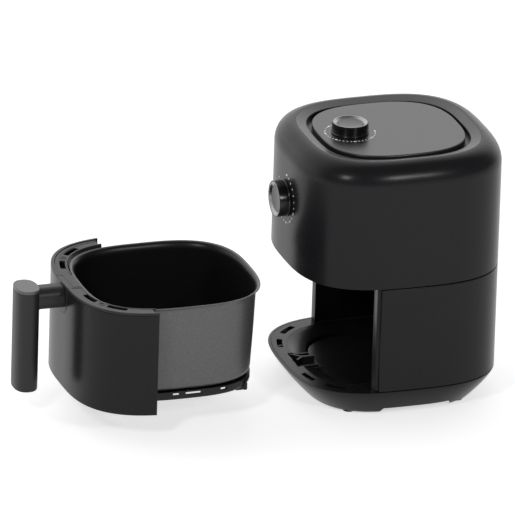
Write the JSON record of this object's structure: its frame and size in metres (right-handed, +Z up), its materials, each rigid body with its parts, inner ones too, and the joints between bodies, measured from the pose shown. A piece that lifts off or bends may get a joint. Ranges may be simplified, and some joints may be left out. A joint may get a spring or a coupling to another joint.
{
  "type": "basket air fryer",
  "caption": "Countertop basket air fryer with a rounded-square casing, a pan drawer on a slide, a lift-out crisper tray, and dials on the lid and the front.",
  "frame": {"origin": "centre of the bounding box at floor level, with the drawer at the open end of its slide", "axes": "+Z up; the front and the handle face -Y, so the drawer shuts along +Y; +X is to the right when facing +Y"},
  "size_m": [0.233, 0.5598, 0.3168],
  "materials": {
    "satin_black": "satin moulded plastic",
    "lid_black": "fine satin grain",
    "inner_black": "matt moulded plastic",
    "handle_grey": "satin moulded plastic",
    "cap_grey": "satin moulded plastic",
    "gloss_black": "polished",
    "chrome_trim": "smoked, satin",
    "pan_coating": "non-stick coating with a fine metallic speckle",
    "carrier_black": "satin, heat resistant",
    "bright_steel": "bright",
    "element_steel": "heat darkened",
    "motor_iron": "laminated iron and varnished winding",
    "rubber": "matt",
    "component_cream": "matt"
  },
  "bodies": {
    "casing": {"head_shell": "satin_black", "top_bezel": "satin_black", "rear_housing": "satin_black", "left_jamb_trim": "satin_black", "right_jamb_trim": "satin_black", "base_tray": "satin_black", "lid_plate": "lid_black", "head_floor": "inner_black", "exhaust_grille": "inner_black", "bay_liner": "inner_black", "base_plate": "inner_black", "latch_bracket": "inner_black", "safety_switch": "inner_black", "heat_reflector": "bright_steel", "element_hanger_front": "bright_steel", "element_hanger_left": "bright_steel", "element_hanger_right": "bright_steel", "fan_guard": "bright_steel", "motor_mount": "bright_steel", "thermostat_bracket": "bright_steel", "timer_bell": "bright_steel", "heating_element": "element_steel", "motor_stator": "motor_iron", "front_left_foot": "rubber", "front_right_foot": "rubber", "rear_left_foot": "rubber", "rear_right_foot": "rubber", "cord_gland": "rubber", "thermostat_body": "component_cream", "timer_body": "component_cream", "terminal_block": "component_cream"},
    "drawer": {"drawer_front": "satin_black", "drawer_top": "handle_grey", "handle_bracket": "handle_grey", "handle_arm": "handle_grey", "handle_grip": "handle_grey", "grip_cap": "cap_grey", "handle_screw_upper": "bright_steel", "handle_screw_lower": "bright_steel", "pan": "pan_coating", "pan_carrier": "carrier_black", "carrier_foot_left": "rubber", "carrier_foot_right": "rubber"},
    "crisper": {"crisper_tray": "pan_coating", "tray_bumper_front_left": "rubber", "tray_bumper_front_right": "rubber", "tray_bumper_rear_left": "rubber", "tray_bumper_rear_right": "rubber"},
    "temperature_dial": {"temperature_knob": "gloss_black", "temperature_ring": "chrome_trim", "thermostat_shaft": "bright_steel"},
    "timer_dial": {"timer_knob": "gloss_black", "timer_ring": "chrome_trim", "timer_shaft": "bright_steel"},
    "fan_set": {"motor_shaft": "bright_steel", "motor_rotor": "bright_steel", "hot_air_fan": "bright_steel", "cooling_fan": "inner_black"},
    "plunger": {"switch_plunger": "component_cream"}
  },
  "joints": [
    {"name": "drawer_slide", "type": "slide", "parent": "casing", "child": "drawer", "axis": [0, 1, 0], "range_m": [0, 0.2605]},
    {"name": "tray_lift", "type": "slide", "parent": "drawer", "child": "crisper", "axis": [0, 0, 1], "range_m": [0, 0.085]},
    {"name": "temperature_turn", "type": "hinge", "parent": "casing", "child": "temperature_dial", "pos_m": [0, 0.11025, 0.3035], "axis": [0, 0, -1], "range_deg": [0, 270]},
    {"name": "timer_turn", "type": "hinge", "parent": "casing", "child": "timer_dial", "pos_m": [0, 0.03596, 0.232], "axis": [0, 1, 0], "range_deg": [0, 300]},
    {"name": "fan_spin", "type": "hinge", "parent": "casing", "child": "fan_set", "pos_m": [0, 0.15595, 0.226], "axis": [0, 0, 1], "continuous": true},
    {"name": "switch_press", "type": "slide", "parent": "casing", "child": "plunger", "axis": [0, 0, 1], "range_m": [0, 0.002], "stiffness_N_per_m": 150}
  ]
}
